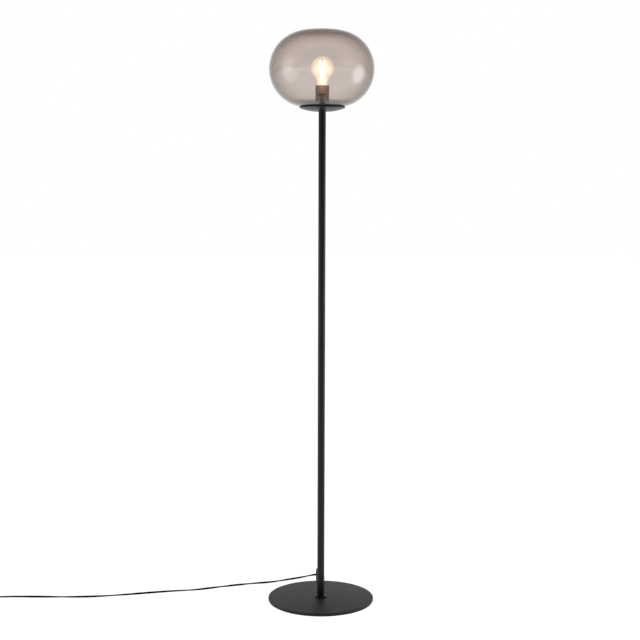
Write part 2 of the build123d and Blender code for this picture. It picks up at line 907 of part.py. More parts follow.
def along(bearing):
    """A level unit vector at a bearing in degrees."""
    return Vector(math.cos(math.radians(bearing)), math.sin(math.radians(bearing)), 0)


switch_run = along(switch_bearing)
switch_centre = switch_inlet + switch_run * (boot_length + switch_length / 2)
switch_plane = Plane(origin=switch_centre, x_dir=switch_run, z_dir=(0, 0, 1))
half_switch = switch_length / 2
screw_places = [(switch_screw_x, switch_screw_y), (-switch_screw_x, -switch_screw_y)]
inside_corner = switch_corner - switch_wall


def switch_walls(low, high, floor, roof):
    """A tray with rounded corners between two levels, hollow from floor to roof."""
    with BuildSketch(switch_plane.offset(low)) as outside:
        RectangleRounded(switch_length, switch_width, switch_corner)
    extrude(outside.sketch, amount=high - low)
    with BuildSketch(switch_plane.offset(floor)) as inside:
        RectangleRounded(
            switch_length - 2 * switch_wall, switch_width - 2 * switch_wall, inside_corner
        )
    extrude(inside.sketch, amount=roof - floor, mode=Mode.SUBTRACT)


def inlet_holes(radius):
    """The holes for the lead through both ends of the switch."""
    ends = Plane(
        origin=switch_centre + Vector(0, 0, inlet_height), x_dir=(0, 0, 1), z_dir=switch_run
    )
    with BuildSketch(ends) as hole:
        Circle(radius)
    extrude(hole.sketch, amount=switch_length, both=True, mode=Mode.SUBTRACT)


with BuildPart() as switch_base:
    switch_walls(0, switch_split, switch_wall, switch_split)
    fillet(switch_base.faces().sort_by(Axis.Z)[0].edges(), switch_wall * 0.6)
    with BuildSketch(switch_plane.offset(switch_wall)):
        Circle(spring_diameter / 2 + spring_room)
    extrude(amount=boss_height)
    with BuildSketch(switch_plane.offset(switch_wall)):
        with Locations(screw_places):
            Circle(switch_post_diameter / 2)
    extrude(amount=switch_split - switch_wall)
    with BuildSketch(switch_plane):
        with Locations(screw_places):
            Circle(switch_screw_diameter / 2 + press_gap)
    extrude(amount=switch_split, mode=Mode.SUBTRACT)
    with BuildSketch(switch_plane):
        with Locations(screw_places):
            Circle(switch_screw_head / 2 + press_gap)
    extrude(amount=switch_wall, mode=Mode.SUBTRACT)
    inlet_holes(flex_hole)
finish(switch_base, "switch_base")

cover_roof = switch_height - switch_wall
with BuildPart() as switch_cover:
    switch_walls(switch_split, switch_height, switch_split, cover_roof)
    fillet(switch_cover.faces().sort_by(Axis.Z)[-1].edges(), switch_edge_round)
    with BuildSketch(switch_plane.offset(switch_split)):
        with Locations(screw_places):
            Circle(switch_post_diameter / 2)
    extrude(amount=cover_roof - switch_split)
    with BuildSketch(switch_plane.offset(switch_split)):
        with Locations(screw_places):
            Circle(switch_screw_diameter / 2 + press_gap)
    extrude(amount=cover_roof - switch_split - screw_seat_floor, mode=Mode.SUBTRACT)
    with BuildSketch(switch_plane.offset(cover_roof - cut_margin)):
        Circle(button_diameter / 2 + button_gap)
    extrude(amount=switch_wall + 2 * cut_margin, mode=Mode.SUBTRACT)
finish(switch_cover, "switch_cover")

# round foot button with a flange that stops under the cover
button_top = switch_height + button_proud_down + button_travel
flange_top = cover_roof - seat_gap
flange_bottom = flange_top - button_flange
with BuildPart() as switch_button:
    with BuildSketch(switch_plane.offset(flange_bottom)):
        Circle(button_diameter / 2)
    extrude(amount=button_top - flange_bottom)
    fillet(switch_button.faces().sort_by(Axis.Z)[-1].edges(), button_proud_down)
    with BuildSketch(switch_plane.offset(flange_bottom)):
        Circle(button_diameter / 2 + button_skirt)
    extrude(amount=button_flange)
    with BuildSketch(switch_plane.offset(flange_bottom)):
        Circle(spring_diameter / 2 + spring_room)
    extrude(amount=button_flange, mode=Mode.SUBTRACT)
finish(switch_button, "switch_button")

# return spring between the boss in the base and the button
spring_bottom = switch_wall + boss_height + spring_wire / 2 + press_gap
spring_top = flange_top - spring_wire / 2 - press_gap
spring_rise = spring_top - spring_bottom
with BuildPart() as switch_spring:
    with BuildLine(switch_plane.offset(spring_bottom)) as spring_line:
        Helix(pitch=spring_rise / spring_turns, height=spring_rise, radius=spring_diameter / 2)
    spring_start = spring_line.line @ 0
    with BuildSketch(Plane(origin=spring_start, z_dir=spring_line.line % 0)):
        Circle(spring_wire / 2)
    sweep(path=spring_line.line, is_frenet=True)
finish(switch_spring, "switch_spring")

with BuildPart() as switch_screws:
    with BuildSketch(switch_plane.offset(screw_sunk)):
        with Locations(screw_places):
            Circle(switch_screw_head / 2)
    extrude(amount=switch_wall - screw_sunk)
    with BuildSketch(switch_plane.offset(switch_wall)):
        with Locations(screw_places):
            Circle(switch_screw_diameter / 2)
    extrude(amount=cover_roof - switch_wall - screw_short)
finish(switch_screws, "switch_screws")

# brass terminal blocks that the cores are screwed into
block_places = [(block_x, block_y), (-block_x, block_y)]
with BuildPart() as terminal_blocks:
    with BuildSketch(switch_plane.offset(switch_wall)):
        with Locations(block_places):
            Rectangle(block_length, block_width)
    extrude(amount=block_height)
finish(terminal_blocks, "terminal_blocks")

# saddles that hold the lead down inside both ends of the switch
clamp_places = [(half_switch - switch_wall - clamp_inset, 0), (-half_switch + switch_wall + clamp_inset, 0)]
with BuildPart() as cord_clamps:
    with BuildSketch(switch_plane.offset(inlet_height + flex_hole)):
        with Locations(clamp_places):
            Rectangle(clamp_length, flex_diameter * 2)
    extrude(amount=clamp_height)
finish(cord_clamps, "cord_clamps")


def switch_point(x, y, z):
    """A point given in the switch's own frame."""
    return switch_plane.from_local_coords(Vector(x, y, z))


# cores inside the switch: one runs through, the other is cut and held in the blocks
flex_stop = half_switch - flex_inside
core_offset = core_diameter / 2 + core_gap
core_detour = spring_diameter / 2 + core_round_spring
block_end = block_x + block_length / 2
with BuildPart() as switch_cores:
    with BuildLine() as through_route:
        FilletPolyline(
            switch_point(-flex_stop, -core_offset, inlet_height),
            switch_point(-flex_stop + core_from_flex, -core_offset, inlet_height),
            switch_point(-block_x + core_from_block, -core_detour + core_slant, inlet_height),
            switch_point(0, -core_detour, inlet_height),
            switch_point(block_x - core_from_block, -core_detour / 3, inlet_height),
            switch_point(flex_stop - core_from_flex, -core_offset, inlet_height),
            switch_point(flex_stop, -core_offset, inlet_height),
            radius=core_diameter,
        )
    with BuildSketch(Plane(origin=through_route.wire() @ 0, z_dir=switch_run)):
        Circle(core_diameter / 2)
    sweep(path=through_route.wire())
    for end in (1, -1):
        with BuildLine() as cut_route:
            FilletPolyline(
                switch_point(end * flex_stop, core_offset, inlet_height),
                switch_point(end * (flex_stop - cut_core_in_flex), core_offset, inlet_height),
                switch_point(end * (block_end + cut_core_straight), block_y - cut_core_side, inlet_height),
                switch_point(end * block_end, block_y - cut_core_side, inlet_height),
                radius=core_diameter * cut_core_bend,
            )
        with BuildSketch(Plane(origin=cut_route.wire() @ 0, z_dir=switch_run * -end)):
            Circle(core_diameter / 2)
        sweep(path=cut_route.wire())
finish(switch_cores, "switch_cores")

# tapered boots at both ends of the switch
with BuildPart() as switch_boots:
    for end in (1, -1):
        mouth = switch_point(end * half_switch, 0, inlet_height)
        boot_plane = Plane(origin=mouth, x_dir=(0, 0, 1), z_dir=switch_run * end)
        with BuildSketch(boot_plane):
            Circle(boot_diameter / 2)
            Circle(flex_hole, mode=Mode.SUBTRACT)
        with BuildSketch(boot_plane.offset(boot_length)):
            Circle(boot_tip_diameter / 2)
            Circle(flex_hole, mode=Mode.SUBTRACT)
        loft(ruled=True)
finish(switch_boots, "switch_boots")


# ---------------------------------------------------------------- lead: lamp to switch

floor_run = flex_radius  # height of the lead's centre where it lies on the floor


def corner_radii(points):
    """The largest even arc at each corner: 0.45 of the shorter run over tan(half turn)."""
    radii = []
    for before, here, after in zip(points, points[1:], points[2:]):
        first, second = here - before, after - here
        half_turn = math.radians(first.get_angle(second)) / 2
        radii.append(corner_share * min(first.length, second.length) / math.tan(half_turn))
    return radii


def lead(points):
    """A round lead along straight runs joined by tangent arcs, from hand-chosen points."""
    points = [Vector(*point) for point in points]
    radii = corner_radii(points)
    with BuildLine() as route:
        FilletPolyline(*points, radius=radii)
    with BuildSketch(Plane(origin=points[0], z_dir=points[1] - points[0])) as section:
        Circle(flex_radius)
    sweep(section.sketch, path=route.wire())
    return route.wire().length, radii


def report_lead(name, build, length, radii):
    """Print a lead's length, tightest bend and how its volume compares with its section."""
    ratio = build.part.volume / (math.pi * flex_radius**2 * length)
    bends = " ".join(f"{radius:.0f}" for radius in radii)
    print(f"{name}: {length:.0f} mm, volume ratio {ratio:.4f}, bend radii {bends}")


lead_out = exit_point + exit_out * exit_straight
switch_in = switch_inlet + switch_run * (boot_length + flex_inside) + Vector(0, 0, inlet_height)
lead_in = switch_inlet - switch_run * switch_straight + Vector(0, 0, inlet_height)
supply_points = [
    exit_point,
    lead_out,
    (-10.5, 48.3, 66.6),
    (-11.3, 54.7, 57.9),
    (-11.5, 57.0, 45.8),
    (-10.8, 58.4, 33.2),
    (-9.0, 63.0, 21.6),
    (-5.8, 72.6, 13.6),
    (-1.2, 85.8, 11.0),
    (3.6, 101.6, 11.2),
    (6.8, 119.4, 13.0),
    (8.0, 139.0, 14.6),
    (8.2, 158.0, 11.0),
    (8.0, 174.0, 5.6),
    (7.8, 186.0, floor_run),
    (7.6, 197.1, floor_run),
    (2.7, 205.5, floor_run),
    (-5.7, 210.4, floor_run),
    (-15.5, 210.4, floor_run),
    (-31.0, 201.4, floor_run),
    (-58.0, 182.0, floor_run),
    (-96.0, 162.0, floor_run),
    (-138.0, 139.0, floor_run),
    (-186.0, 128.0, floor_run),
    (-240.0, 110.0, floor_run),
    (-296.0, 88.0, floor_run),
    (-344.0, 67.0, floor_run),
    (-406.0, 57.5, floor_run),
    (-474.0, 40.0, floor_run),
    (-548.0, 20.0, floor_run),
    (-618.0, 6.5, floor_run),
    (-692.0, 3.5, floor_run),
    (-768.0, 4.0, floor_run + 0.5),
    lead_in,
    switch_in,
]
with BuildPart() as supply_cord:
    supply_length, supply_radii = lead(supply_points)
finish(supply_cord, "supply_cord")
report_lead("supply_cord", supply_cord, supply_length, supply_radii)


# ---------------------------------------------------------------- lead: coil

coil_start_bearing = switch_bearing - 90  # from the coil's centre to where it starts
coil_level = flex_radius + coil_floor_gap
coil_start = switch_centre + switch_run * (half_switch + boot_length + coil_reach) + Vector(
    0, 0, coil_level
)
coil_centre = coil_start - along(coil_start_bearing) * coil_outer_radius
inward = 2 * math.pi * coil_turns_each_way
coil_inner_radius = coil_outer_radius - coil_pitch * coil_turns_each_way
spiral_rate = coil_pitch / (2 * math.pi)


def coil_state(angle):
    """Radius, height and their rates at an angle of winding."""
    if angle <= inward:
        return coil_outer_radius - spiral_rate * angle, 0.0, -spiral_rate, 0.0
    past = angle - inward
    if past < math.pi:
        radius = coil_inner_radius - spiral_rate * (past - past**2 / math.pi)
        rate = -spiral_rate * (1 - 2 * past / math.pi)
        return (
            radius,
            coil_layer * (1 - math.cos(past)) / 2,
            rate,
            coil_layer * math.sin(past) / 2,
        )
    return coil_inner_radius + spiral_rate * (past - math.pi), coil_layer, spiral_rate, 0.0


def coil_node(angle):
    """Place and unit tangent of the coil's centreline at an angle of winding."""
    radius, height, radius_rate, height_rate = coil_state(angle)
    bearing = math.radians(coil_start_bearing) + angle
    out = Vector(math.cos(bearing), math.sin(bearing), 0)
    on = Vector(-math.sin(bearing), math.cos(bearing), 0)
    tangent = out * radius_rate + on * radius + Vector(0, 0, height_rate)
    return coil_centre + out * radius + Vector(0, 0, height), tangent.normalized()


def biarc_middle(start, start_way, end, end_way):
    """Where two equal-handed arcs meet between two places with given directions."""
    span = end - start
    both = start_way + end_way
    squared = 2 * (1 - start_way.dot(end_way))
    reach = -span.dot(both) + math.sqrt(span.dot(both) ** 2 + squared * span.dot(span))
    return (start + end + (start_way - end_way) * (reach / squared)) / 2


quarter = math.pi / 2
coil_quarters = 4 * (2 * coil_turns_each_way) + 2
coil_nodes = [coil_node(quarter * index) for index in range(coil_quarters + 1)]
coil_first, coil_first_way = coil_nodes[0]
coil_last, coil_last_way = coil_nodes[-1]
coil_in = coil_first - coil_first_way * flex_diameter
coil_out = coil_last + coil_last_way * flex_diameter

with BuildPart() as cord_coil:
    with BuildLine() as coil_route:
        Line(coil_in, coil_first)
        for (start, start_way), (end, end_way) in zip(coil_nodes, coil_nodes[1:]):
            middle = biarc_middle(start, start_way, end, end_way)
            TangentArc(start, middle, tangent=start_way)
            TangentArc(middle, end, tangent=-end_way, tangent_from_first=False)
        Line(coil_last, coil_out)
    with BuildSketch(Plane(origin=coil_in, z_dir=coil_first_way)):
        Circle(flex_radius)
    sweep(path=coil_route.wire())
finish(cord_coil, "cord_coil")

coil_length = coil_route.wire().length
steps_per_turn = 72
samples = [
    coil_node(2 * math.pi * index / steps_per_turn)[0]
    for index in range(round(steps_per_turn * coil_quarters / 4) + 1)
]
least = min(
    (samples[first] - samples[second]).length
    for first in range(len(samples))
    for second in range(first + steps_per_turn // 2, len(samples))
)
print(f"cord_coil: {coil_length:.0f} mm, least gap to itself {least - flex_diameter:.2f} mm")
coil_ratio = cord_coil.part.volume / (math.pi * flex_radius**2 * coil_length)
print(f"cord_coil: volume ratio {coil_ratio:.4f}")


# ---------------------------------------------------------------- lead: switch to coil, coil to plug

switch_out = switch_centre + switch_run * flex_stop + Vector(0, 0, inlet_height)
boot_out = switch_out + switch_run * (flex_inside + boot_length + boot_straight)
coil_lead_points = [
    switch_out,
    boot_out,
    coil_in - coil_first_way * coil_lead_in,
    coil_in,
]
with BuildPart() as switch_cord:
    switch_cord_length, switch_cord_radii = lead(coil_lead_points)
finish(switch_cord, "switch_cord")
report_lead("switch_cord", switch_cord, switch_cord_length, switch_cord_radii)

plug_bearing = math.degrees(math.atan2(coil_last_way.Y, coil_last_way.X)) - plug_turn
plug_run = along(plug_bearing)
plug_axis = plug_thickness / 2
plug_lead_turn = coil_out + coil_last_way * coil_lead_out
plug_lead_near = plug_lead_turn + plug_run * plug_lead_run
plug_lead_near = Vector(plug_lead_near.X, plug_lead_near.Y, plug_axis)
plug_tail = plug_lead_near + plug_run * plug_lead_straight
plug_lead_end = plug_tail + plug_run * (plug_tail_length + plug_lead_inside)
plug_lead_points = [coil_out, plug_lead_turn, plug_lead_near, plug_lead_end]
with BuildPart() as plug_cord:
    plug_cord_length, plug_cord_radii = lead(plug_lead_points)
finish(plug_cord, "plug_cord")
report_lead("plug_cord", plug_cord, plug_cord_length, plug_cord_radii)


# ---------------------------------------------------------------- plug

plug_plane = Plane(origin=plug_tail, x_dir=plug_run, z_dir=(0, 0, 1))
plug_back = plug_tail_length
plug_front = plug_back + plug_length
pin_places = [pin_spacing / 2, -pin_spacing / 2]


def pin_plane(side, distance):
    """A plane square to a pin, at a distance from the tail's end."""
    return Plane(
        origin=plug_plane.from_local_coords(Vector(distance, side, 0)),
        x_dir=(0, 0, 1),
        z_dir=plug_run,
    )


pin_root = 6.0
with BuildPart() as plug_body:
    with BuildSketch(plug_plane.offset(-plug_thickness / 2)):
        with BuildLine():
            Polyline(
                (plug_back, plug_neck_width / 2),
                (plug_back + plug_shoulder, plug_width / 2),
                (plug_front, plug_width / 2),
                (plug_front, -plug_width / 2),
                (plug_back + plug_shoulder, -plug_width / 2),
                (plug_back, -plug_neck_width / 2),
                close=True,
            )
        make_face()
    extrude(amount=plug_thickness)
    long_edges = plug_body.edges().filter_by(lambda edge: abs((edge % 0.5).Z) < 0.5)
    fillet(long_edges, plug_round)
    with BuildSketch(pin_plane(0, 0)):
        Circle(plug_tail_tip / 2)
    with BuildSketch(pin_plane(0, plug_back + 1.0)):
        Circle(plug_neck_width / 2 - plug_round)
    loft(ruled=True)
    with BuildSketch(pin_plane(0, 0)):
        Circle(flex_hole)
    extrude(amount=plug_tail_length + 4, mode=Mode.SUBTRACT)
    for side in pin_places:
        with BuildSketch(pin_plane(side, plug_front - pin_root)):
            Circle(pin_diameter / 2 + press_gap)
        extrude(amount=pin_root, mode=Mode.SUBTRACT)
finish(plug_body, "plug_body")

with BuildPart() as plug_pins:
    for side in pin_places:
        with BuildSketch(pin_plane(side, plug_front - pin_root)):
            Circle(pin_diameter / 2)
        extrude(amount=pin_root + pin_length)
    fillet(
        plug_pins.edges().filter_by(GeomType.CIRCLE).group_by(
            lambda edge: round(plug_plane.to_local_coords(edge.center()).X, 3)
        )[-1],
        pin_diameter / 2 * 0.7,
    )
    for side in pin_places:
        with BuildSketch(pin_plane(side, plug_front)):
            Circle(pin_diameter)
            Circle(pin_diameter / 2 - pin_sleeve_wall, mode=Mode.SUBTRACT)
        extrude(amount=pin_sleeve_length, mode=Mode.SUBTRACT)
finish(plug_pins, "plug_pins")

# insulating sleeves round the roots of the pins
with BuildPart() as pin_sleeves:
    for side in pin_places:
        with BuildSketch(pin_plane(side, plug_front)):
            Circle(pin_diameter / 2)
            Circle(pin_diameter / 2 - pin_sleeve_wall + press_gap, mode=Mode.SUBTRACT)
        extrude(amount=pin_sleeve_length)
finish(pin_sleeves, "pin_sleeves")

lead_length = supply_length + switch_cord_length + coil_length + plug_cord_length
print(f"whole lead: {lead_length + 2 * flex_stop:.0f} mm")
print(f"globe centre {globe_centre_z:.2f}, dish bottom {dish_bottom:.2f}, rim {dish_rim_top:.2f}")
print(f"sleeve top {sleeve_top:.2f}, bulb top {bulb_top:.2f}, tip {tip_bottom:.2f}")
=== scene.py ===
"""Globe floor lamp: its looks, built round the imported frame. Metres, +Z up, -Y is the front."""

import math

import bpy
from mathutils import Matrix, Vector


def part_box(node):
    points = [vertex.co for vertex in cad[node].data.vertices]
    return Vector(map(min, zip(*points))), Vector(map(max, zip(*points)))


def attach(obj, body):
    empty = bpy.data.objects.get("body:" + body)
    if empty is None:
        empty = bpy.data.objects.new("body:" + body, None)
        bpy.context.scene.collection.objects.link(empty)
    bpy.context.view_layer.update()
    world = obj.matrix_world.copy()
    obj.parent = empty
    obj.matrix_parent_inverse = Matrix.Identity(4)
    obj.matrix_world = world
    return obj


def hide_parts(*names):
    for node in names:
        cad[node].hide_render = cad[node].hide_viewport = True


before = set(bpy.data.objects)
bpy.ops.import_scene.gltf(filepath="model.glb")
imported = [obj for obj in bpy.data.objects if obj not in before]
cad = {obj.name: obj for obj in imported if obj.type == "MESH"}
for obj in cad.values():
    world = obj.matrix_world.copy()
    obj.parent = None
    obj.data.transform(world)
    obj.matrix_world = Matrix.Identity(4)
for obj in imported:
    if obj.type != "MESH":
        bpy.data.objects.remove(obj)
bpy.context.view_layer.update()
scene = bpy.context.scene
scene.view_settings.view_transform = "Standard"


# ---------------------------------------------------------------- camera
# The picture is taken from 3.25 m in front of the pole and 1.07 m up, with a long lens that looks down by
# under six degrees and is held almost level.

camera_distance = 3.24828
camera_height = 1.07403
camera_pitch = math.radians(5.6675)
camera_yaw = math.radians(0.0736)
camera_roll = math.radians(0.1759)
camera_sensor = 36.0
picture_pixels = 640
focal_pixels = 1245.904

bpy.ops.object.camera_add(location=(0, -camera_distance, camera_height))
camera = bpy.context.object
camera.rotation_euler = (
    Matrix.Rotation(camera_yaw, 3, "Z")
    @ Matrix.Rotation(math.pi / 2 - camera_pitch, 3, "X")
    @ Matrix.Rotation(camera_roll, 3, "Z")
).to_euler()
camera.data.sensor_width = camera_sensor
camera.data.lens = camera_sensor * focal_pixels / picture_pixels
camera.data.clip_start = 0.1
camera.data.clip_end = 100
scene.camera = camera


# ---------------------------------------------------------------- studio
# A white floor runs back into a white ground. In reflections the room in front is dim and the floor stays
# white. Two large softboxes stand left and right of the lamp and give the glass its highlights.


class Value:
    """An output in a node tree. Arithmetic with it adds Math nodes."""

    def __init__(self, tree, socket):
        self.tree = tree
        self.socket = socket

    def maths(self, operation, *terms):
        """A Math node on a Value's tree, with its terms in order."""
        node = self.tree.nodes.new("ShaderNodeMath")
        node.operation = operation
        for place, term in zip(node.inputs, terms):
            feed(self.tree, place, term)
        return Value(self.tree, node.outputs[0])

    def other(self, name):
        """Another output of the same node."""
        return Value(self.tree, self.socket.node.outputs[name])

    def __add__(self, term):
        return self.maths("ADD", self, term)

    def __sub__(self, term):
        return self.maths("SUBTRACT", self, term)

    def __rsub__(self, term):
        return self.maths("SUBTRACT", term, self)

    def __mul__(self, term):
        return self.maths("MULTIPLY", self, term)

    def __pow__(self, power):
        return self.maths("POWER", self, power)

    __radd__ = __add__
    __rmul__ = __mul__


def feed(tree, place, term):
    """Link a Value to an input, or write a plain number or colour on it."""
    if isinstance(term, Value):
        tree.links.new(term.socket, place)
    else:
        place.default_value = term


class Shader:
    """The node tree of a material or of the world."""

    def __init__(self, owner):
        owner.use_nodes = True
        self.owner = owner
        self.tree = owner.node_tree
        self.tree.nodes.clear()

    def put(self, kind, inputs=None, settings=None, output=0):
        """A node of a kind, with its settings, then its inputs by name or number, as a Value."""
        node = self.tree.nodes.new("ShaderNode" + kind)
        for name, value in (settings or {}).items():
            setattr(node, name, value)
        for name, term in (inputs or {}).items():
            feed(self.tree, node.inputs[name], term)
        return Value(self.tree, node.outputs[output]) if len(node.outputs) else None

    def mixed(self, factor, first, second):
        """Two colours mixed by a factor."""
        return self.put("Mix", {0: factor, 6: first, 7: second}, {"data_type": "RGBA"}, output=2)

    def noise(self, scale, detail=2.0, roughness=0.5):
        """Noise on the piece's own metres: scale is cells per metre."""
        inputs = {"Scale": scale, "Detail": detail, "Roughness": roughness}
        inputs["Vector"] = self.put("TexCoord", output="Object")
        return self.put("TexNoise", inputs)

    def bump(self, height, depth, strength=1.0):
        """A Normal from a height between 0 and 1 and its depth in metres."""
        return self.put("Bump", {"Height": height, "Distance": depth, "Strength": strength})

    def done(self, surface):
        """The material, once a surface is wired to its output."""
        self.put("OutputMaterial", {"Surface": surface})
        return self.owner


def new_shader(name):
    return Shader(bpy.data.materials.new(name))


room_dim = 0.10  # light from the dim front of the room, as a share of the white ground
room_top = 0.50  # light from high up behind the lamp, as a share of the white ground
white = (1, 1, 1, 1)

studio = Shader(bpy.data.worlds.new("studio"))
scene.world = studio.owner
bearing = studio.put("SeparateXYZ", {"Vector": studio.put("TexCoord", output="Generated")})
behind = studio.put(
    "MapRange",
    {"Value": bearing.other("Y"), "From Min": 0.0, "From Max": 0.95},
    {"interpolation_type": "SMOOTHSTEP"},
)
low = studio.put(
    "MapRange",
    {"Value": bearing.other("Z"), "From Min": 0.75, "From Max": 0.12},
    {"interpolation_type": "SMOOTHSTEP"},
)
room = room_dim + (1 - room_dim) * behind * (room_top + (1 - room_top) * low)
rays = studio.put("LightPath", output="Is Camera Ray")
seen = rays.maths("MAXIMUM", rays, rays.other("Is Transmission Ray"))
ground = studio.put("Background", {"Color": white, "Strength": seen + (1 - seen) * room})
studio.put("OutputWorld", {"Surface": ground})

# the floor is white to the camera and in reflections, and still takes the lamp's shadow
floor_glow = 0.96
floor_size = 40
floor_shader = new_shader("studio_floor")
rays = floor_shader.put("LightPath", output="Is Camera Ray")
shown = rays.maths("MAXIMUM", rays, rays.other("Is Glossy Ray"))
shown = shown.maths("MAXIMUM", shown, rays.other("Is Transmission Ray"))
shadowed = floor_shader.put("BsdfDiffuse", {"Color": (0.22, 0.22, 0.22, 1)})
lit_floor = floor_shader.put("Emission", {"Color": white, "Strength": floor_glow})
pale = floor_shader.put("BsdfDiffuse", {"Color": (0.8, 0.8, 0.8, 1)})
floor_surface = floor_shader.put(
    "MixShader", {0: shown, 1: pale, 2: floor_shader.put("AddShader", {0: shadowed, 1: lit_floor})}
)
bpy.ops.object.select_all(action="DESELECT")
bpy.ops.mesh.primitive_plane_add(size=floor_size)
floor = bpy.context.object
floor.name = "floor"
floor.data.materials.append(floor_shader.done(floor_surface))


def softbox(name, place, aim, width, height, strength):
    """A soft panel of light whose glow fades from its middle to its edges, aimed at a point."""
    shader = new_shader(name)
    across = shader.put("SeparateXYZ", {"Vector": shader.put("TexCoord", output="Generated")})
    from_middle = ((across - 0.5) * 2.0) ** 2.0 + ((across.other("Y") - 0.5) * 2.0) ** 2.0
    fade = shader.put(
        "MapRange",
        {"Value": from_middle, "From Min": 1.0, "From Max": 0.0},
        {"interpolation_type": "SMOOTHSTEP"},
    )
    clear = shader.put("BsdfTransparent", {"Color": white})
    glow = shader.put("Emission", {"Color": white, "Strength": strength})
    bpy.ops.object.select_all(action="DESELECT")
    bpy.ops.mesh.primitive_plane_add(size=1)
    panel = bpy.context.object
    panel.name = name
    panel.scale = (width, height, 1)
    panel.location = place
    panel.rotation_euler = (Vector(aim) - Vector(place)).to_track_quat("Z", "Y").to_euler()
    panel.data.materials.append(shader.done(shader.put("MixShader", {0: fade, 1: clear, 2: glow})))
    panel.visible_camera = False


softbox("softbox_left", (-2.05, -0.50, 0.78), (0, 0, 1.30), width=2.2, height=1.8, strength=2.6)
softbox("softbox_right", (2.1, 0.0, 0.85), (0, 0, 1.36), width=1.8, height=2.0, strength=4.4)


def lamp(name, kind, place, power, colour, size):
    """A plain light that shows in no reflection."""
    bpy.ops.object.light_add(type=kind, location=place)
    light = bpy.context.object
    light.name = name
    light.data.energy = power
    light.data.color = colour
    if kind == "AREA":
        light.data.size = size
    else:
        light.data.shadow_soft_size = size
    light.visible_glossy = False


lamp("overhead", "AREA", (0.0, 0.2, 3.2), power=35, colour=(1, 1, 1), size=2.0)
# what the bulb throws down the front of the lampholder's sleeve
lamp("bulb_spill", "POINT", (0.0, -0.045, 1.378), power=0.6, colour=(1.0, 0.45, 0.16), size=0.012)


# ---------------------------------------------------------------- base
# A laser-cut steel disc, 6 mm thick, with a softened top edge, in black fine-texture powder coat. A foam
# sheet is glued under it, and a countersunk socket screw comes up through its middle.


def powder_coat(name, tone=0.007, rough=0.36, gloss=0.28):
    """Black paint powder melted into a fine leathery skin."""
    shader = new_shader(name)
    cells = shader.noise(1500, detail=3)
    drift = shader.noise(35, detail=2)
    surface = shader.put(
        "BsdfPrincipled",
        {
            "Base Color": (tone, tone, tone * 1.04, 1),
            "Roughness": rough + (drift - 0.5) * 0.10 + (cells - 0.5) * 0.08,
            "Specular IOR Level": gloss,
            "Normal": shader.bump(cells, 0.00006, 0.55),
        },
    )
    return shader.done(surface)


def arc(centre, radius, start, end, steps):
    """Points along an arc in a plane, from one angle in degrees to another."""
    turns = [math.radians(start + (end - start) * step / steps) for step in range(steps + 1)]
    return [(centre[0] + radius * math.cos(a), centre[1] + radius * math.sin(a)) for a in turns]


def turned(name, outline, sides=144, smooth=35):
    """A round piece: a point is extruded along an outline of radii and heights, then spun."""
    bpy.ops.object.select_all(action="DESELECT")
    bpy.ops.mesh.primitive_plane_add(size=0.01)
    piece = bpy.context.object
    piece.name = name
    bpy.ops.object.mode_set(mode="EDIT")
    bpy.ops.mesh.merge(type="CENTER")
    bpy.ops.transform.translate(value=(outline[0][0], 0, outline[0][1]))
    for (radius, height), (next_radius, next_height) in zip(outline, outline[1:]):
        bpy.ops.mesh.extrude_vertices_move(
            TRANSFORM_OT_translate={"value": (next_radius - radius, 0, next_height - height)}
        )
    bpy.ops.mesh.select_all(action="SELECT")
    bpy.ops.mesh.spin(steps=sides, angle=math.tau, center=(0, 0, 0), axis=(0, 0, 1))
    bpy.ops.mesh.select_all(action="SELECT")
    bpy.ops.mesh.remove_doubles(threshold=0.00001)
    bpy.ops.mesh.normals_make_consistent(inside=False)
    bpy.ops.object.mode_set(mode="OBJECT")
    bpy.ops.object.shade_smooth_by_angle(angle=math.radians(smooth))
    return piece


def dress(piece, material, slot, body, *replaced):
    """Finish a new piece: its material, body and the nodes that it stands for; its slot is not used."""
    piece.data.materials.clear()
    piece.data.materials.append(material)
    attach(piece, body)
    if replaced:
        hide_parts(*replaced)
    return piece


def coat(material, *names):
    """Give carried-over nodes a material."""
    for name in names:
        for place in cad[name].material_slots:
            place.material = material


plate_low, plate_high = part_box("base_plate")
plate_radius = plate_high.x
plate_round = 0.0010
plate_hole = 0.00425
plate_sink = 0.00825
plate_outline = [
    (plate_hole, plate_high.z),
    *arc((plate_radius - plate_round, plate_high.z - plate_round), plate_round, 90, 0, 6),
    *arc((plate_radius - plate_round / 3, plate_low.z + plate_round / 3), plate_round / 3, 0, -90, 3),
    (plate_sink, plate_low.z),
    (plate_hole, plate_low.z + plate_sink - plate_hole),
    (plate_hole, plate_high.z),
]
black_coat = powder_coat("black_powder_coat")
# painted light: the base gets its own copy of the pole's powder coat, lighter in tone, for how light falls
# on its flat top; its higher roughness is what makes it duller
base_coat_painted_light = powder_coat("base_powder_coat_painted_light", tone=0.012, rough=0.52, gloss=0.30)  # lies flat, so it is duller
dress(turned("base_disc", plate_outline, 256), base_coat_painted_light, "powder_coat", "stand", "base_plate")

foam = new_shader("base_foam")
foam_cells = foam.noise(2200, detail=1)
foam_skin = foam.put(
    "BsdfPrincipled",
    {
        "Base Color": foam.mixed(foam_cells, (0.018, 0.018, 0.018, 1), (0.04, 0.04, 0.04, 1)),
        "Roughness": 0.9,
        "Normal": foam.bump(foam_cells, 0.0002, 0.8),
    },
)
coat(foam.done(foam_skin), "base_pad")


def plated(name, colour, rough=0.28):
    """Plated or bare metal with faint wear."""
    shader = new_shader(name)
    marks = shader.noise(420, detail=4, roughness=0.6)
    surface = shader.put(
        "BsdfPrincipled",
        {
            "Base Color": shader.mixed(marks, (*[part * 0.82 for part in colour], 1), (*colour, 1)),
            "Metallic": 1.0,
            "Roughness": rough + (marks - 0.5) * 0.14,
            "Normal": shader.bump(marks, 0.00002, 0.4),
        },
    )
    return shader.done(surface)


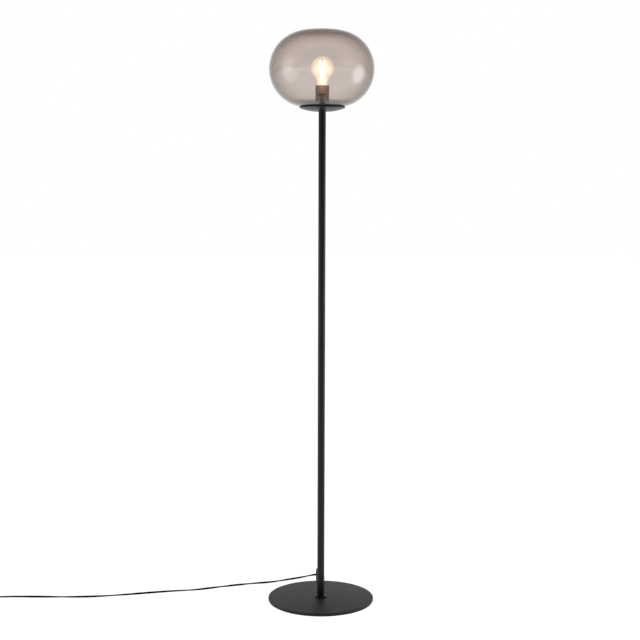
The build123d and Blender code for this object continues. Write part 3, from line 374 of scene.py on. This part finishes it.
zinc = plated("zinc_plate", (0.60, 0.61, 0.62), 0.34)
coat(zinc, "base_screw", "foot_plug", "lower_joint_insert", "upper_joint_insert", "joint_stud")
coat(zinc, "pole_top_insert")


# ---------------------------------------------------------------- pole
# Two lengths of 19 mm steel tube, screwed together end to end so that only a hairline shows, and a loose
# trim ring that covers the joint with the base. All are powder coated like the base.


def tube_outline(low, high, radius, bore, edge):
    """The section of a tube whose outer ends are chamfered."""
    return [
        (bore, low),
        (radius - edge, low),
        (radius, low + edge),
        (radius, high - edge),
        (radius - edge, high),
        (bore, high),
        (bore, low),
    ]


pole_radius = 0.0095
pole_bore = 0.0083
pole_edge = 0.0003
lower_low, lower_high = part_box("lower_pole")
upper_low, upper_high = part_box("upper_pole")
lower_tube = turned(
    "lower_tube", tube_outline(lower_low.z, lower_high.z, pole_radius, pole_bore, pole_edge), 96
)
upper_tube = turned(
    "upper_tube", tube_outline(upper_low.z, upper_high.z, pole_radius, pole_bore, pole_edge), 96
)
dress(lower_tube, black_coat, "powder_coat", "stand", "lower_pole")
dress(upper_tube, black_coat, "powder_coat", "stand", "upper_pole")

collar_low, collar_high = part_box("foot_collar")
collar_round = 0.0008
collar_bore = pole_radius + 0.00005
collar_bevel_out = 0.00055
collar_bevel_down = 0.0005
collar_outline = [
    (collar_bore, collar_low.z),
    (collar_high.x, collar_low.z),
    *arc((collar_high.x - collar_round, collar_high.z - collar_round), collar_round, 0, 90, 6),
    (collar_bore + collar_bevel_out, collar_high.z),
    (collar_bore, collar_high.z - collar_bevel_down),
    (collar_bore, collar_low.z),
]
dress(turned("collar_ring", collar_outline, 96), black_coat, "powder_coat", "stand", "foot_collar")


# ---------------------------------------------------------------- dish
# A shallow dish spun from steel, with a short upright rim. A black ring welded in it centres the globe's
# mouth, and a rubber ring with an inner lip keeps the glass off the metal.

dish_low, dish_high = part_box("dish")
dish_radius = dish_high.x
dish_wall = 0.0015
dish_rim = 0.0026
dish_flat = 0.0110
dish_hole = 0.00505
dish_rise = dish_high.z - dish_low.z - dish_rim
dish_span = dish_radius - dish_flat
dish_curve = (dish_span**2 + dish_rise**2) / (2 * dish_rise)
dish_sweep = math.degrees(math.asin(dish_span / dish_curve))
inner_curve = dish_curve - dish_wall
inner_sweep = math.degrees(math.asin((dish_span - dish_wall) / inner_curve))
dish_centre = (dish_flat, dish_low.z + dish_curve)
lip_round = dish_wall / 3
dish_outline = [
    (dish_hole, dish_low.z),
    *arc(dish_centre, dish_curve, -90, -90 + dish_sweep, 28),
    *arc((dish_radius - lip_round, dish_high.z - lip_round), lip_round, 0, 90, 4),
    *arc((dish_radius - dish_wall + lip_round, dish_high.z - lip_round), lip_round, 90, 180, 4),
    *arc(dish_centre, inner_curve, -90 + inner_sweep, -90, 28),
    (dish_hole, dish_low.z + dish_wall),
    (dish_hole, dish_low.z),
]
dress(turned("spun_dish", dish_outline, 192), black_coat, "powder_coat", "stand", "dish")

ring_low, ring_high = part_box("locating_ring")
ring_wall = 0.0015
ring_edge = 0.0003
ring_seat = 0.0005  # what its outer side stands up by, over the dish's curve
ring_bore = ring_high.x - ring_wall
ring_outline = [
    (ring_bore, ring_low.z),
    (ring_high.x, ring_low.z + ring_seat),
    (ring_high.x, ring_high.z - ring_edge),
    (ring_high.x - ring_edge, ring_high.z),
    (ring_bore + ring_edge, ring_high.z),
    (ring_bore, ring_high.z - ring_edge),
    (ring_bore, ring_low.z),
]
dress(turned("centring_ring", ring_outline, 144), black_coat, "powder_coat", "stand", "locating_ring")


def rubber(name, tone=0.018, rough=0.62, grain=900, gloss=0.4):
    """Soft black rubber or PVC with a faint moulded grain."""
    shader = new_shader(name)
    grains = shader.noise(grain, detail=2)
    surface = shader.put(
        "BsdfPrincipled",
        {
            "Base Color": shader.mixed(
                grains, (tone * 0.8, tone * 0.8, tone * 0.8, 1), (tone * 1.2, tone * 1.2, tone * 1.2, 1)
            ),
            "Roughness": rough + (grains - 0.5) * 0.12,
            "Specular IOR Level": gloss,
            "Normal": shader.bump(grains, 0.00005, 0.35),
        },
    )
    return shader.done(surface)


coat(rubber("seat_rubber"), "dish_gasket")


# ---------------------------------------------------------------- globe
# One blown piece of grey-brown smoked glass, 2.5 mm thick, wider than it is tall: its side, crown and foot
# are three arcs that run into each other. Its mouth is flame-polished, below a band of ground glass.

globe_low, globe_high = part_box("globe_glass")
globe_radius = 0.13575
globe_side = 0.0972
globe_crown = 0.326
globe_wall = 0.0025
mouth_radius = 0.049
lip_bulge = 0.6  # of half the wall
globe_play = -0.0015  # how far left it rests in the clearance round its ring
side_centre = globe_radius - globe_side
crown_drop = math.sqrt((globe_crown - globe_side) ** 2 - side_centre**2)
globe_middle = globe_high.z - globe_crown + crown_drop
crown_turn = math.degrees(math.atan2(side_centre, crown_drop))


def oval(inset):
    """Half of the oval at an inset into the glass, from the mouth up to the crown."""
    crown = globe_crown - inset
    mouth_turn = math.degrees(math.asin(mouth_radius / crown))
    foot = arc((0, globe_middle + crown_drop), crown, -90 + mouth_turn, -90 + crown_turn, 5)
    side = arc((side_centre, globe_middle), globe_side - inset, -90 + crown_turn, 90 - crown_turn, 64)
    top = arc((0, globe_middle - crown_drop), crown, 90 - crown_turn, 90, 10)
    return foot[:-1] + side + top[1:]


def lip(upper, lower):
    """A flame-polished edge between two points, which bulges towards the axis."""
    middle = Vector(upper).lerp(Vector(lower), 0.5)
    half = (Vector(upper) - Vector(lower)).length / 2
    bulge = half * lip_bulge
    return [
        (middle.x - bulge * math.sin(turn), middle.y + half * math.cos(turn))
        for turn in [math.pi * step / 6 for step in range(1, 6)]
    ]


outer_glass = oval(0.0)
inner_glass = oval(globe_wall)
polished = lip(inner_glass[0], outer_glass[0])
globe = turned("smoked_globe", inner_glass[::-1] + polished + outer_glass, 192, 60)
for vertex in globe.data.vertices:
    vertex.co.x += globe_play

smoke_thin = (0.872, 0.838, 0.816, 1)  # what one wall lets through where it faces the viewer
smoke_thick = (0.165, 0.085, 0.06, 1)  # and where it is seen edge on
ground_band = (0.007, 0.016)  # fully ground below, clear above, from the mouth
ground_share = 0.55
mirror_face_on = 0.04
smoke = new_shader("smoked_glass")
turned_away = smoke.put("LayerWeight", {"Blend": 0.5}, output="Facing")
sheer = smoke.put("BsdfTransparent", {"Color": smoke_thin})
dense = smoke.put("BsdfTransparent", {"Color": smoke_thick})
place = smoke.put("SeparateXYZ", {"Vector": smoke.put("TexCoord", output="Object")})
ground_low, ground_high = [globe_low.z + rise for rise in ground_band]
near_mouth = smoke.put(
    "MapRange",
    {"Value": place.other("Z"), "From Min": ground_high, "From Max": ground_low},
    {"interpolation_type": "SMOOTHSTEP"},
)
tinted = smoke.put("MixShader", {0: turned_away**3.3, 1: sheer, 2: dense})
ground_glass = smoke.put("BsdfDiffuse", {"Color": (0.20, 0.19, 0.19, 1), "Roughness": 0.5})
body_of_glass = smoke.put("MixShader", {0: near_mouth * ground_share, 1: tinted, 2: ground_glass})
polish = smoke.put("BsdfGlossy", {"Color": white, "Roughness": 0.06})
mirror_share = mirror_face_on + (1 - mirror_face_on) * turned_away**5.0
glass_surface = smoke.put("MixShader", {0: mirror_share, 1: body_of_glass, 2: polish})
dress(globe, smoke.done(glass_surface), "smoked_glass", "globe", "globe_glass")


# ---------------------------------------------------------------- lampholder
# A cylindrical metal sleeve hides a black plastic E27 holder, which screws down on the same nipple that
# ties the sleeve, the dish and the pole together. Washer, nut and grub screw are zinc plated.

sleeve_low, sleeve_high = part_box("holder_sleeve")
sleeve_radius = sleeve_high.x
sleeve_wall = 0.0010
sleeve_lip = 0.0012
sleeve_hole = 0.00505
sleeve_round = 0.0008
sleeve_outline = [
    (sleeve_hole, sleeve_low.z),
    *arc((sleeve_radius - sleeve_round, sleeve_low.z + sleeve_round), sleeve_round, -90, 0, 5),
    *arc((sleeve_radius - sleeve_round, sleeve_high.z - sleeve_round), sleeve_round, 0, 90, 5),
    (sleeve_radius - sleeve_wall - sleeve_lip, sleeve_high.z),
    (sleeve_radius - sleeve_wall - sleeve_lip, sleeve_high.z - sleeve_wall),
    (sleeve_radius - sleeve_wall, sleeve_high.z - sleeve_wall),
    (sleeve_radius - sleeve_wall, sleeve_low.z + sleeve_wall),
    (sleeve_hole, sleeve_low.z + sleeve_wall),
    (sleeve_hole, sleeve_low.z),
]
sleeve_coat = powder_coat("sleeve_coat", tone=0.05, rough=0.40)
dress(turned("lamp_sleeve", sleeve_outline, 96), sleeve_coat, "powder_coat", "stand", "holder_sleeve")


def moulded(name, colour, rough=0.35, grain=600, depth=0.00003):
    """Injection-moulded plastic with a fine spark-eroded grain."""
    shader = new_shader(name)
    grains = shader.noise(grain, detail=3)
    surface = shader.put(
        "BsdfPrincipled",
        {
            "Base Color": shader.mixed(
                grains, (*[part * 0.9 for part in colour], 1), (*[part * 1.1 for part in colour], 1)
            ),
            "Roughness": rough + (grains - 0.5) * 0.15,
            "Normal": shader.bump(grains, depth, 0.4),
        },
    )
    return shader.done(surface)


holder_black = moulded("holder_plastic", (0.020, 0.020, 0.020), 0.30)
brass = plated("contact_brass", (0.78, 0.58, 0.28), 0.24)
coat(holder_black, "holder_cap", "holder_body")
coat(zinc, "head_washer", "head_nipple", "head_nut", "grub_screw", "terminal_screws")
coat(brass, "screw_shell", "shell_contact", "centre_contact")
coat(moulded("core_insulation", (0.16, 0.07, 0.03), 0.3), "holder_cores", "switch_cores")


# ---------------------------------------------------------------- bulb
# An LED filament bulb with an E27 cap, switched on. A warm glow is painted on its glass round the four
# upright filaments, strongest where it faces the viewer: painted light, since the glass itself gives none
# off.

bulb_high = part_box("bulb_envelope")[1]
bulb_radius = 0.030
bulb_wall = 0.0008
bulb_neck = 0.0138
neck_in_cap = 0.004
neck_flare = 0.0025
cap_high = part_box("bulb_cap")[1]
cap_wall_and_gap = 0.00055
cap_neck = cap_high.x - cap_wall_and_gap
bulb_equator = bulb_high.z - bulb_radius
shoulder = cap_high.z + 0.006


def bulb_half(inset):
    """The bulb's outline at an inset, from its neck in the cap up to the crown."""
    half_width = (bulb_radius - bulb_neck) / 2
    half_rise = (bulb_equator - shoulder) / 2
    bend = (half_width**2 + half_rise**2) / (2 * half_width)
    lean = math.degrees(math.atan2(half_rise, bend - half_width))
    return [
        (cap_neck - inset, cap_high.z - neck_in_cap),
        (cap_neck - inset, cap_high.z),
        (bulb_neck - inset, cap_high.z + neck_flare),
        *arc((bulb_neck + bend, shoulder), bend + inset, 180, 180 - lean, 14),
        *arc((bulb_radius - bend, bulb_equator), bend - inset, -lean, 0, 14)[1:],
        *arc((0, bulb_equator), bulb_radius - inset, 0, 90, 24)[1:],
    ]


bulb_glass = turned("bulb_glass", bulb_half(bulb_wall)[::-1] + bulb_half(0.0), 96, 60)
painted_glow_colour = (1.0, 0.85, 0.67, 1)
bulb_glass_shader = new_shader("bulb_glass_painted_glow")
edge_on = bulb_glass_shader.put("LayerWeight", {"Blend": 0.5}, output="Facing")
clear = bulb_glass_shader.put("BsdfTransparent", {"Color": (0.98, 0.97, 0.95, 1)})
# painted glow: emission on the bulb's glass that stands in for the light round the filaments
glow = bulb_glass_shader.put("Emission", {"Color": painted_glow_colour, "Strength": 1.9})
face_on = 1 - edge_on
painted_glow_share = 0.08 + 0.13 * face_on**1.2 + 0.55 * face_on**7.0
glass_and_painted_glow = bulb_glass_shader.put("MixShader", {0: painted_glow_share, 1: clear, 2: glow})
glint = bulb_glass_shader.put("BsdfGlossy", {"Color": white, "Roughness": 0.03})
bulb_mirror = 0.03 + 0.3 * edge_on**5.0
bulb_surface = bulb_glass_shader.put("MixShader", {0: bulb_mirror, 1: glass_and_painted_glow, 2: glint})
dress(bulb_glass, bulb_glass_shader.done(bulb_surface), "bulb_glass", "bulb", "bulb_envelope")

lit = new_shader("lit_filament")
spots = lit.noise(700, detail=1)
lit_surface = lit.put(
    "BsdfPrincipled",
    {
        "Base Color": (0.95, 0.75, 0.35, 1),
        "Roughness": 0.6,
        "Emission Color": lit.mixed(spots, (1.0, 0.80, 0.50, 1), (1.0, 0.90, 0.68, 1)),
        "Emission Strength": 24.0,
    },
)
coat(lit.done(lit_surface), "bulb_filaments")
coat(plated("bulb_nickel", (0.74, 0.73, 0.70), 0.22), "bulb_cap", "bulb_leads")
coat(moulded("bulb_vitrite", (0.015, 0.015, 0.016), 0.12), "bulb_insulator")
coat(brass, "bulb_tip")
stem_glass = new_shader("stem_glass")
stem_edge = stem_glass.put("LayerWeight", {"Blend": 0.5}, output="Facing")
stem_clear = stem_glass.put("BsdfTransparent", {"Color": (0.92, 0.94, 0.93, 1)})
# painted glow: the glass stem gives off light as if lit by the filaments, though it is no lamp
stem_painted_glow = stem_glass.put("Emission", {"Color": painted_glow_colour, "Strength": 3.0})
stem_glint = stem_glass.put("BsdfGlossy", {"Color": white, "Roughness": 0.02})
stem_body = stem_glass.put("MixShader", {0: 0.5, 1: stem_clear, 2: stem_painted_glow})
stem_surface = stem_glass.put(
    "MixShader", {0: 0.04 + 0.5 * stem_edge**5.0, 1: stem_body, 2: stem_glint}
)
coat(stem_glass.done(stem_surface), "bulb_stem")


# ---------------------------------------------------------------- lead from the pole to the foot switch
# Flat twin flex in black PVC, 5.3 by 3.3 mm. It comes out of a moulded strain relief at the back of the
# pole, drops behind it, crosses the base and lies along the floor, turning over on itself as it goes.

flex_width = 0.0053
flex_thickness = 0.0033
floor_run = 0.00265
exit_turn = math.radians(13)
exit_reach = 0.0297
exit_height = 0.0715
exit_straight = 0.010
exit_way = Vector((-math.sin(exit_turn), math.cos(exit_turn), 0))
exit_point = exit_way * exit_reach + Vector((0, 0, exit_height))

switch_turn = math.radians(189)
switch_way = Vector((math.cos(switch_turn), math.sin(switch_turn), 0))
switch_inlet = Vector((-0.893, -0.0135, 0.0065))
boot_length = 0.022
flex_inside = 0.009
switch_length = 0.076
switch_straight = 0.045

supply_route = [
    exit_point,
    exit_point + exit_way * exit_straight,
    (-0.0105, 0.0483, 0.0666),
    (-0.0113, 0.0547, 0.0579),
    (-0.0115, 0.0570, 0.0458),
    (-0.0108, 0.0584, 0.0332),
    (-0.0090, 0.0630, 0.0216),
    (-0.0058, 0.0726, 0.0136),
    (-0.0012, 0.0858, 0.0110),
    (0.0036, 0.1016, 0.0112),
    (0.0068, 0.1194, 0.0130),
    (0.0080, 0.1390, 0.0146),
    (0.0082, 0.1580, 0.0110),
    (0.0080, 0.1740, 0.0056),
    (0.0078, 0.1860, floor_run),
    (0.0076, 0.1971, floor_run),
    (0.0027, 0.2055, floor_run),
    (-0.0057, 0.2104, floor_run),
    (-0.0155, 0.2104, floor_run),
    (-0.0310, 0.2014, floor_run),
    (-0.0580, 0.1820, floor_run),
    (-0.0960, 0.1620, floor_run),
    (-0.1380, 0.1390, floor_run),
    (-0.1860, 0.1280, floor_run),
    (-0.2400, 0.1100, floor_run),
    (-0.2960, 0.0880, floor_run),
    (-0.3440, 0.0670, floor_run),
    (-0.4060, 0.0575, floor_run),
    (-0.4740, 0.0400, floor_run),
    (-0.5480, 0.0200, floor_run),
    (-0.6180, 0.0065, floor_run),
    (-0.6920, 0.0035, floor_run),
    (-0.7680, 0.0040, floor_run + 0.0005),
    switch_inlet - switch_way * switch_straight,
    switch_inlet + switch_way * (boot_length + flex_inside),
]


def twin_section(name):
    """The flex's section: two round cores side by side under one sheath."""
    core = flex_thickness / 2
    apart = (flex_width - flex_thickness) / 2
    turns = [math.radians(-120 + 30 * step) for step in range(9)]
    outline = [(apart + core * math.cos(turn), core * math.sin(turn)) for turn in turns]
    outline += [(-x, -y) for x, y in outline]
    shape = bpy.data.curves.new(name, "CURVE")
    shape.dimensions = "2D"
    line = shape.splines.new("POLY")
    line.points.add(len(outline) - 1)
    for point, (x, y) in zip(line.points, outline):
        point.co = (x, y, 0, 1)
    line.use_cyclic_u = True
    section = bpy.data.objects.new(name, shape)
    scene.collection.objects.link(section)
    return section


def flex(name, route, tilts):
    """A length of flex along a smooth line with the route's points as its control points."""
    curve = bpy.data.curves.new(name, "CURVE")
    curve.dimensions = "3D"
    curve.twist_mode = "Z_UP"
    line = curve.splines.new("NURBS")
    line.points.add(len(route) - 1)
    for point, place, tilt in zip(line.points, route, tilts):
        point.co = (*place, 1)
        point.tilt = tilt
    line.order_u = 3
    line.use_endpoint_u = True
    line.resolution_u = 10
    piece = bpy.data.objects.new(name, curve)
    scene.collection.objects.link(piece)
    return piece


def path_of(piece):
    """Points along a route's own smooth line."""
    line = bpy.data.meshes.new_from_object(piece)
    return [vertex.co.copy() for vertex in line.vertices]


def sheathed(piece):
    """Give a flex its section, as a mesh."""
    section = twin_section("section")
    piece.data.bevel_mode = "OBJECT"
    piece.data.bevel_object = section
    piece.data.use_fill_caps = True
    bpy.ops.object.select_all(action="DESELECT")
    piece.select_set(True)
    bpy.context.view_layer.objects.active = piece
    bpy.ops.object.convert(target="MESH")
    bpy.data.objects.remove(section)
    bpy.ops.object.shade_smooth_by_angle(angle=math.radians(50))


flex_pvc = rubber("flex_pvc", tone=0.003, rough=0.6, grain=700, gloss=0.06)

# the flex turns over between the places where it lies flat, which are named by how far left they are
flat_places = [0.0, -0.027, -0.109, -0.189, -0.266, -0.341, -0.552, -0.683, -0.800]


def half_turns(left):
    """How often the flex has turned over by a place, counting from its exit."""
    for count, (near, far) in enumerate(zip(flat_places, flat_places[1:])):
        if left > near:
            return count
        if left > far:
            return count + (left - near) / (far - near)
    return len(flat_places) - 1


supply_tilts = [math.pi * half_turns(place[0]) for place in supply_route]
supply_flex = flex("supply_flex", supply_route, supply_tilts)
supply_path = path_of(supply_flex)
sheathed(supply_flex)
dress(supply_flex, flex_pvc, "lead_pvc", "stand", "supply_cord")
coat(flex_pvc, "pole_cable")
coat(moulded("bushing_nylon", (0.016, 0.016, 0.016), 0.38), "cord_bushing", "cord_clamps", "pin_sleeves")


# ---------------------------------------------------------------- foot switch
# Two moulded shells held by screws from below, a round foot button on a return spring, and a tapered rubber
# boot at each end where the flex goes in.

switch_black = moulded("switch_plastic", (0.018, 0.018, 0.019), 0.44, grain=1600, depth=0.00004)
boot_rubber = rubber("boot_rubber", tone=0.014, rough=0.5)
coat(switch_black, "switch_base", "switch_cover", "switch_button", "plug_body")
coat(boot_rubber, "switch_boots")
coat(zinc, "switch_spring", "switch_screws")
coat(brass, "terminal_blocks")
switch_nodes = ["switch_base", "switch_cover", "switch_button", "switch_boots", "switch_spring"]
switch_nodes += ["switch_screws", "terminal_blocks", "switch_cores", "cord_clamps"]


# ---------------------------------------------------------------- spare lead and plug
# The rest of the flex is wound into a neat coil of two layers that lies on the floor beside the switch, and
# ends in a flat two-pin plug with half-insulated nickel pins.

coil_pitch = 0.0059
coil_layer = 0.0058
coil_outer = 0.0377
coil_turns_each_way = 3
coil_reach = 0.070
coil_points_per_turn = 16
boot_straight = 0.013
coil_lead_in = 0.024
coil_lead_out = 0.016
coil_level = floor_run + 0.0001
coil_bearing = switch_turn - math.pi / 2
switch_far = switch_inlet + switch_way * (boot_length + switch_length)
coil_start = switch_far + switch_way * (boot_length + coil_reach)
coil_start.z = coil_level
coil_out_way = Vector((math.cos(coil_bearing), math.sin(coil_bearing), 0))
coil_centre = coil_start - coil_out_way * coil_outer
coil_inward = math.tau * coil_turns_each_way
coil_inner = coil_outer - coil_pitch * coil_turns_each_way


def coil_point(angle):
    """A place on the coil: in along the lower layer, up in half a turn, and out along the upper."""
    rate = coil_pitch / math.tau
    past = angle - coil_inward
    if past <= 0:
        radius, height = coil_outer - rate * angle, 0.0
    elif past < math.pi:
        radius = coil_inner - rate * (past - past**2 / math.pi)
        height = coil_layer * (1 - math.cos(past)) / 2
    else:
        radius, height = coil_inner + rate * (past - math.pi), coil_layer
    turn = coil_bearing + angle
    out = Vector((math.cos(turn), math.sin(turn), 0))
    return coil_centre + out * radius + Vector((0, 0, height))


coil_angle = math.tau * (2 * coil_turns_each_way + 0.5)
coil_steps = round(coil_points_per_turn * coil_angle / math.tau)
coil_route = [coil_point(coil_angle * step / coil_steps) for step in range(coil_steps + 1)]
coil_step = 0.01
coil_in_way = (coil_point(coil_step) - coil_point(0)).normalized()
coil_away = (coil_point(coil_angle) - coil_point(coil_angle - coil_step)).normalized()

plug_low, plug_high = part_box("plug_body")
plug_lead_run = 0.020
plug_lead_straight = 0.011
plug_inside = 0.026
plug_turn = math.atan2(coil_away.y, coil_away.x) - math.radians(14)
plug_way = Vector((math.cos(plug_turn), math.sin(plug_turn), 0))
plug_bend = coil_route[-1] + coil_away * (flex_width + coil_lead_out)
plug_near = plug_bend + plug_way * plug_lead_run
plug_near.z = (plug_low.z + plug_high.z) / 2
plug_end = plug_near + plug_way * (plug_lead_straight + plug_inside)
plug_route = [
    switch_far,
    switch_far + switch_way * (boot_length + boot_straight),
    coil_start - coil_in_way * (flex_width + coil_lead_in),
    coil_start - coil_in_way * flex_width,
    *coil_route,
    coil_route[-1] + coil_away * flex_width,
    plug_bend,
    plug_near,
    plug_end,
]
plug_flex = flex("plug_flex", plug_route, [0.0] * len(plug_route))
plug_path = path_of(plug_flex)
sheathed(plug_flex)
dress(plug_flex, flex_pvc, "lead_pvc", "stand", "switch_cord", "cord_coil", "plug_cord")
coat(plated("pin_nickel", (0.78, 0.77, 0.73), 0.14), "plug_pins")
